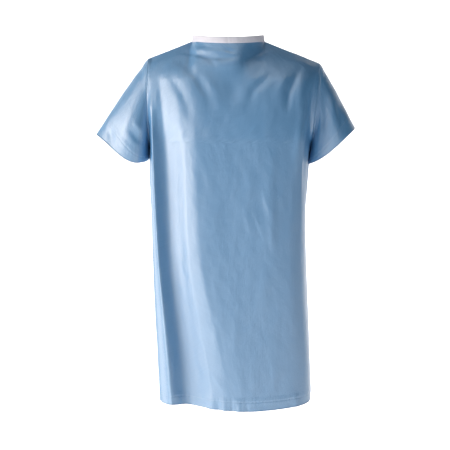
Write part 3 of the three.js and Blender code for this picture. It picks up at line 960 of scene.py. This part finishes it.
def back_outside_y(side, x):
    """A function that gives the y of the back cloth's outer side at any height, at a distance x from the
    middle."""
    grid = backs[side]["grid"]
    points = np.array([row[nearest(np.abs(row[:, 0]), x)] for row in grid])
    order = np.argsort(points[:, 2])
    return lambda z: np.interp(z, points[order, 2], points[order, 1])


# The neck ties hang over the edge of the back opening. The waist ties hang from their sewn-down ends.
TIE_CLEARANCE = 0.2 * MM
NECK_TIE_SINK = 0.5 * MM
WAIST_TIE_STAND_OFF = 2.5 * MM
WAIST_TIE_DROP = 60 * MM
TIE_SEEDS = {"left": {"neck": 41, "waist": 44}, "right": {"neck": 42, "waist": 45}}
WAIST_END_SEED = 43


def build_ties(side):
    """One side's neck tie, waist tie and the waist tie's sewn-down end."""
    root_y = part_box(f"neck_tie_{side}")[0][1] + TIE_CLEARANCE
    low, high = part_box(f"waist_tie_{side}")
    beside_gap = back_outside_y(side, back_gap(0))
    below_waist = back_outside_y(side, abs(low[0] + high[0]) / 2)

    def neck_path(z):
        return np.maximum(beside_gap(z) - NECK_TIE_SINK, root_y)

    def sewn_path(z):
        return below_waist(z) + TIE_CLEARANCE

    def hanging_path(z):
        hanging = smoothstep((high[2] - z) / WAIST_TIE_DROP)
        return below_waist(z) + lerp(TIE_CLEARANCE, WAIST_TIE_STAND_OFF, hanging)

    seeds = TIE_SEEDS[side]
    neck_tie = build_tie(f"neck_tie_{side}_tape", f"neck_tie_{side}", f"{side}_neck_tie", neck_path,
                         2.5, seeds["neck"])
    sewn_end = build_tie(f"waist_tie_end_{side}", f"waist_tie_anchor_{side}", f"{side}_back_flap", sewn_path,
                         0, WAIST_END_SEED)
    waist_tie = build_tie(f"waist_tie_{side}_tape", f"waist_tie_{side}", f"{side}_waist_tie", hanging_path,
                          3, seeds["waist"])
    return {"neck": neck_tie, "sewn_end": sewn_end, "waist": waist_tie}


ties = {side: build_ties(side) for side in SIGNS}


# The pieces of each side's back, with its sewn-down tie end, and of its sleeve, taken one side at a time
for side in SIGNS:
    cloth, *trim = backs[side]["pieces"]
    trim.append(ties[side]["sewn_end"])
    cloth, hem = sleeve_pieces[side]


# Studio: a seamless white floor and wall, a big soft light from the camera's left and one from above, and
# surroundings that are darker on the wearer's left
FLOOR_DROP = 0.42
ROOM_HALF = 6.0
WALL_Y = 4.4
WALL_HEIGHT = 5.0
WALL_BEND = 1.2


def build_backdrop():
    floor_z = hem_z - FLOOR_DROP
    profile = [(-ROOM_HALF, floor_z)]
    for angle in np.linspace(0, math.pi / 2, 17):
        y = WALL_Y - WALL_BEND + WALL_BEND * math.sin(angle)
        profile.append((y, floor_z + WALL_BEND - WALL_BEND * math.cos(angle)))
    profile.append((WALL_Y, floor_z + WALL_HEIGHT))
    vertices = [(x, y, z) for x in (-ROOM_HALF, ROOM_HALF) for y, z in profile]
    count = len(profile)
    faces = [(i, i + 1, count + i + 1, count + i) for i in range(count - 1)]
    mesh = bpy.data.meshes.new("backdrop")
    mesh.from_pydata(vertices, [], faces)
    mesh.polygons.foreach_set("use_smooth", [True] * len(mesh.polygons))
    paper = bpy.data.materials.new("backdrop_paper")
    paper.use_nodes = True
    surface = paper.node_tree.nodes["Principled BSDF"]
    surface.inputs["Base Color"].default_value = (0.93, 0.93, 0.93, 1)
    surface.inputs["Roughness"].default_value = 0.95
    surface.inputs["Emission Color"].default_value = (1, 1, 1, 1)
    surface.inputs["Emission Strength"].default_value = 0.95
    mesh.materials.append(paper)
    backdrop = bpy.data.objects.new("backdrop", mesh)
    bpy.context.scene.collection.objects.link(backdrop)


def add_light(name, place, target, size, power, colour):
    """A rectangular light that faces its target, with its height upright."""
    data = bpy.data.lights.new(name, "AREA")
    data.shape = "RECTANGLE"
    data.size, data.size_y = size
    data.energy = power
    data.color = colour
    light = bpy.data.objects.new(name, data)
    bpy.context.scene.collection.objects.link(light)
    light.location = place
    way = np.array(target) - np.array(place)
    light.rotation_euler = (
        math.atan2(math.hypot(way[0], way[1]), -way[2]), 0, math.atan2(-way[0], way[1]))


def build_surroundings():
    world = bpy.data.worlds.new("surroundings")
    world.use_nodes = True
    tree = world.node_tree
    direction = add_node(tree, "ShaderNodeTexCoord").outputs["Generated"]
    x = add_node(tree, "ShaderNodeSeparateXYZ", {"Vector": direction}).outputs["X"]
    strength = add_node(tree, "ShaderNodeMapRange", {
        "Value": x, "From Min": -0.3, "From Max": 0.5, "To Min": 0.3, "To Max": 0.04})
    tree.links.new(strength.outputs[0], tree.nodes["Background"].inputs["Strength"])
    tree.nodes["Background"].inputs["Color"].default_value = (0.95, 0.97, 1.0, 1)
    bpy.context.scene.world = world


build_backdrop()
build_surroundings()
add_light("key", (-2.8, -1.2, -0.2), (0, -0.1, -0.3), (1.6, 3.4), 110, (1.0, 0.89, 0.79))
add_light("top", (0, -1.4, 2.2), (0, -0.1, -0.1), (2.2, 1.6), 16, (1.0, 1.0, 1.0))
bpy.context.scene.view_settings.view_transform = "Standard"


# The camera stands at the height of the chest and looks slightly down at the gown's middle.
CAMERA_DISTANCE = 3.2
CAMERA_Z = -290 * MM
AIM_X = -9 * MM
AIM_Z = -502 * MM
VIEW_WIDTH = 1.2375
SENSOR_WIDTH_MM = 36


def add_camera():
    data = bpy.data.cameras.new("camera")
    data.sensor_width = SENSOR_WIDTH_MM
    data.lens = SENSOR_WIDTH_MM * CAMERA_DISTANCE / VIEW_WIDTH
    camera = bpy.data.objects.new("camera", data)
    bpy.context.scene.collection.objects.link(camera)
    camera.location = (AIM_X, -CAMERA_DISTANCE, CAMERA_Z)
    camera.rotation_euler = (math.pi / 2 - math.atan2(CAMERA_Z - AIM_Z, CAMERA_DISTANCE), 0, 0)
    bpy.context.scene.camera = camera


add_camera()
